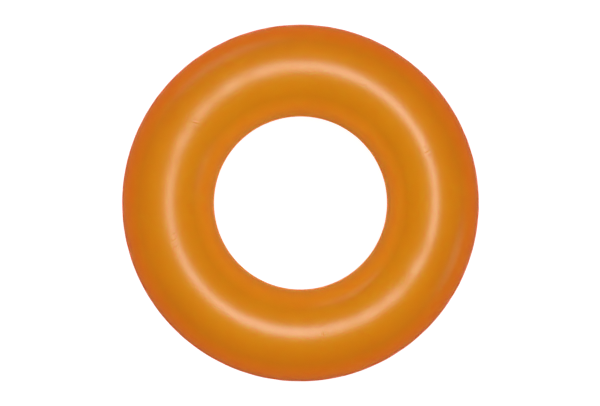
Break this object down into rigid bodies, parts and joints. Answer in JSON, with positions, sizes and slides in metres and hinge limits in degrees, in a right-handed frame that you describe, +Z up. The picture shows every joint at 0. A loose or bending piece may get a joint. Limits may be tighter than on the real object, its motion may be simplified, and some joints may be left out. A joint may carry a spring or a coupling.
{
  "type": "inflatable swim ring",
  "caption": "Inflated round ring of translucent orange vinyl film, with welded edges and a push-in air valve closed by a stopper on a strap.",
  "frame": {"origin": "on the floor, under the middle of the ring's hole", "axes": "+Z up along the ring's axis; the air valve is on the -Y side, low on the outside of the tube; +X to the right of it"},
  "size_m": [0.76, 0.76, 0.1906],
  "materials": {
    "ring_vinyl": "satin",
    "valve_vinyl": "satin"
  },
  "bodies": {
    "ring": {"top_film": "ring_vinyl", "bottom_film": "ring_vinyl", "valve_flange": "valve_vinyl", "valve_boot": "valve_vinyl"},
    "stem": {"valve_stem": "valve_vinyl", "strap_collar": "valve_vinyl", "plug_strap": "valve_vinyl", "flap_anchor": "valve_vinyl"},
    "plug": {"valve_plug": "valve_vinyl"},
    "flap": {"check_flap": "valve_vinyl"}
  },
  "joints": [
    {"name": "stem_push", "type": "slide", "parent": "ring", "child": "stem", "axis": [0, 0.8192, 0.5736], "range_m": [0, 0.012], "deforming": ["valve_boot"]},
    {"name": "plug_swing", "type": "hinge", "parent": "stem", "child": "plug", "pos_m": [0.0128, -0.37071, 0.03305], "axis": [0, -0.5736, 0.8192], "range_deg": [0, 120], "deforming": ["plug_strap"]},
    {"name": "flap_swing", "type": "hinge", "parent": "stem", "child": "flap", "pos_m": [-0.0058, -0.35753, 0.04228], "axis": [0, -0.5736, 0.8192], "range_deg": [0, 45]}
  ]
}
